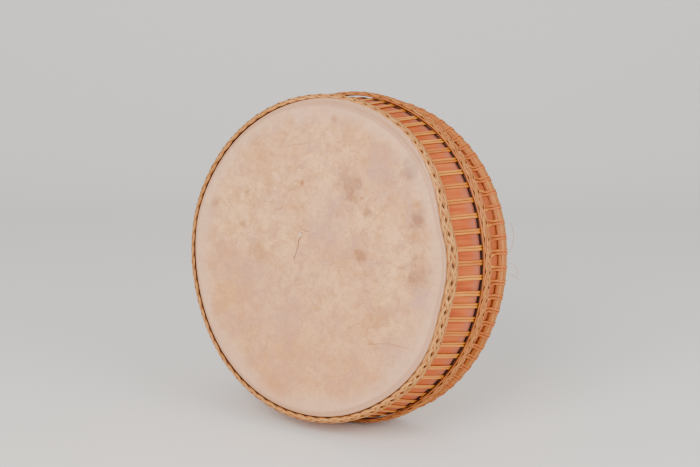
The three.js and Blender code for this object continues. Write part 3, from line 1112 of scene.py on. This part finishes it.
def clean_hide(hide, up, clouds, mottle, specks):
    """The colour of the hide before any blot or streak."""
    lilac = face_noise(hide, (7, 2, 0), 22.0, 7.0, 0.72, 0.8)
    grainy = face_noise(hide, (2, 8, 0), 150.0, 5.0, 0.7, 0.3)
    colour = hide.ramp(clouds, [(0.32, tint(212, 150, 100)), (0.5, tint(236, 178, 128)),
                                (0.66, tint(246, 190, 130))])
    colour = hide.blend(hide.window(mottle, 0.42, 0.62, 0.0, 0.7), colour, tint(202, 142, 94))
    colour = hide.blend(hide.window(lilac, 0.46, 0.66, 0.0, 0.75), colour, tint(200, 148, 126))
    colour = hide.blend(hide.window(grainy, 0.5, 0.68, 0.0, 0.5), colour, tint(182, 126, 84))
    colour = hide.blend(hide.window(specks, 0.58, 0.72, 0.0, 0.6), colour, tint(146, 94, 60))
    for size, shift in ((9.0, 1), (21.0, 6)):
        folds = face_noise(hide, (shift, 3, 0), size, 3.0, 0.5, 1.2)
        off_line = hide.math("ABSOLUTE", hide.minus(folds, 0.5))
        colour = hide.blend(hide.window(off_line, 0.0, 0.007, 0.4, 0.0), colour, tint(160, 104, 66))
    # Painted shade: the hide is coloured slightly darker towards the bottom.
    painted_shade_to_bottom = hide.window(up, -220 * MM, 120 * MM, 0.4, 0.0)
    return hide.blend(painted_shade_to_bottom, colour, tint(206, 142, 94))


# %% Blots and streaks
WARP_OF_STREAK = 9 * MM
STREAK_END = 2


def with_blot(hide, colour, across, up, warp, blot):
    """The colour with one soft stain on it, whose rim follows the warp."""
    blot_across, blot_up, reach, strength, stain = blot
    distance = hide.length(hide.minus(across, blot_across * MM), hide.minus(up, blot_up * MM))
    wavy = hide.plus(distance, hide.times(hide.minus(warp, 0.5), reach * 2.2 * MM))
    share = hide.window(wavy, reach * 0.25 * MM, reach * 1.15 * MM, strength, 0.0)
    return hide.blend(share, colour, stain)


def with_streak(hide, colour, across, up, warp, streak):
    """The colour with one thin line on it, crooked by the warp."""
    start, end, width, strength, stain = streak
    length = math.dist(start, end)
    right, rise = (end[0] - start[0]) / length, (end[1] - start[1]) / length
    from_across = hide.minus(across, start[0] * MM)
    from_up = hide.minus(up, start[1] * MM)
    along = hide.plus(hide.times(from_across, right), hide.times(from_up, rise))
    beside = hide.minus(hide.times(from_across, rise), hide.times(from_up, right))
    crooked = hide.plus(beside, hide.times(hide.minus(warp, 0.5), WARP_OF_STREAK))
    share = hide.window(hide.math("ABSOLUTE", crooked), width * 0.3 * MM, width * MM, strength, 0.0)
    begun = hide.window(along, 0.0, STREAK_END * MM)
    not_over = hide.window(along, (length - STREAK_END) * MM, length * MM, 1.0, 0.0)
    return hide.blend(hide.times(share, hide.times(begun, not_over)), colour, stain)


# %% Rawhide finish
def rawhide_finish(name, blots, streaks, edge_radius):
    """Clean hide, then its marks, then a paler band near the rim and a browner rim."""
    hide = Finish(name)
    across, up, _ = hide.parts(hide.grain())
    clouds = face_noise(hide, (0, 0, 0), 11.0, 5.0, 0.6, 0.3)
    mottle = face_noise(hide, (3, 5, 0), 50.0, 7.0, 0.7, 0.6)
    specks = face_noise(hide, (1, 9, 0), 330.0, 3.0, 0.6)
    warp = face_noise(hide, (4, 4, 0), 60.0, 4.0, 0.6)
    colour = clean_hide(hide, up, clouds, mottle, specks)
    for blot in blots:
        colour = with_blot(hide, colour, across, up, warp, blot)
    for streak in streaks:
        colour = with_streak(hide, colour, across, up, warp, streak)
    from_axis = hide.length(across, up)
    uneven = hide.plus(from_axis, hide.times(hide.minus(clouds, 0.5), 60 * MM))
    pale_edge = hide.window(uneven, edge_radius - 34 * MM, edge_radius - 6 * MM, 0.0, 0.55)
    colour = hide.blend(pale_edge, colour, tint(224, 180, 148))
    roll = hide.window(from_axis, edge_radius - 6 * MM, edge_radius - 2 * MM, 0.0, 0.6)
    colour = hide.blend(roll, colour, tint(184, 134, 104))
    leather = hide.bump(specks, 0.3, 0.25 * MM, hide.bump(mottle, 0.35, 0.9 * MM))
    return hide.finish(colour, hide.window(mottle, 0.35, 0.7, 0.56, 0.72), leather, 0.3)


dress(playing_head, rawhide_finish("front_rawhide", FRONT_BLOTS, FRONT_STREAKS, shell_radius(0.0)))
dress(rear_head, rawhide_finish("back_rawhide", BACK_BLOTS, [], shell_radius(back_at)))

# %% [markdown]
# ## Floor and light
# A pale floor that curves up behind the drum gives an even ground without a horizon. One large soft
# light stands in front of the head, to the left of the camera. It shows the head evenly and lets the
# plaits cast small shadows. A weaker one from the right opens up the shaded side.

# %% Shape of the floor
FLOOR_HALF_WIDTH = 4.0


def studio_floor():
    floor_front, floor_back, wall_height, sweep = -3.0, 1.6, 3.0, 0.9
    bend = np.linspace(0, math.pi / 2, 17)
    profile = [(floor_front, 0.0)]
    profile += [(floor_back + sweep * math.sin(b), sweep * (1 - math.cos(b))) for b in bend]
    profile.append((floor_back + sweep, wall_height))
    mesh = bpy.data.meshes.new("studio_floor")
    heading = Vector((-math.sin(CAMERA_TURN), math.cos(CAMERA_TURN), 0))
    beside = Vector((math.cos(CAMERA_TURN), math.sin(CAMERA_TURN), 0))
    points = []
    for forward, height in profile:
        for width in (-FLOOR_HALF_WIDTH, FLOOR_HALF_WIDTH):
            points.append(heading * forward + beside * width + Vector((0, 0, FLOOR + height)))
    faces = [(2 * i, 2 * i + 1, 2 * i + 3, 2 * i + 2) for i in range(len(profile) - 1)]
    mesh.from_pydata(points, [], faces)
    mesh.polygons.foreach_set("use_smooth", [True] * len(faces))
    made = bpy.data.objects.new("studio_floor", mesh)
    bpy.context.scene.collection.objects.link(made)
    return made


# %% The floor
floor = studio_floor()
paper = Finish("studio_paper")
paper_place = paper.node("ShaderNodeTexCoord").outputs["Object"]
paper_fibres = paper.noise(paper_place, 300.0, 3.0)
paper_colour = paper.ramp(paper_fibres, [(0.3, tint(234, 231, 226)), (0.7, tint(238, 235, 230))])
dress(floor, paper.finish(paper_colour, 0.85, paper.bump(paper_fibres, 0.1, 0.2 * MM), 0.2))


# %% Lights
KEY_WATTS = 74
FILL_WATTS = 38
AIR_STRENGTH = 0.8


def soft_light(name, size, power, colour, turn, height, distance):
    """An area light that looks at the middle of the head, turned so far from straight in front."""
    data = bpy.data.lights.new(name, "AREA")
    data.shape = "RECTANGLE"
    data.size, data.size_y = size
    data.energy = power
    data.color = colour
    made = bpy.data.objects.new(name, data)
    bpy.context.scene.collection.objects.link(made)
    target = Vector(FACE)
    made.location = target + Vector((math.sin(turn) * distance, -math.cos(turn) * distance, height))
    aim = (target - made.location).to_track_quat("-Z", "Y")
    made.rotation_euler = aim.to_euler()
    print(name, "light of", power, "W")


soft_light("key", (1.6, 1.6), KEY_WATTS, (1.0, 0.96, 0.9), math.radians(12), 1.3, 2.3)
soft_light("fill", (1.8, 1.4), FILL_WATTS, (1.0, 0.97, 0.93), math.radians(80), 0.8, 2.2)
world = bpy.data.worlds.new("studio_air")
world.use_nodes = True
air = world.node_tree.nodes["Background"]
air.inputs["Color"].default_value = (0.95, 0.97, 1.0, 1.0)
air.inputs["Strength"].default_value = AIR_STRENGTH
bpy.context.scene.world = world
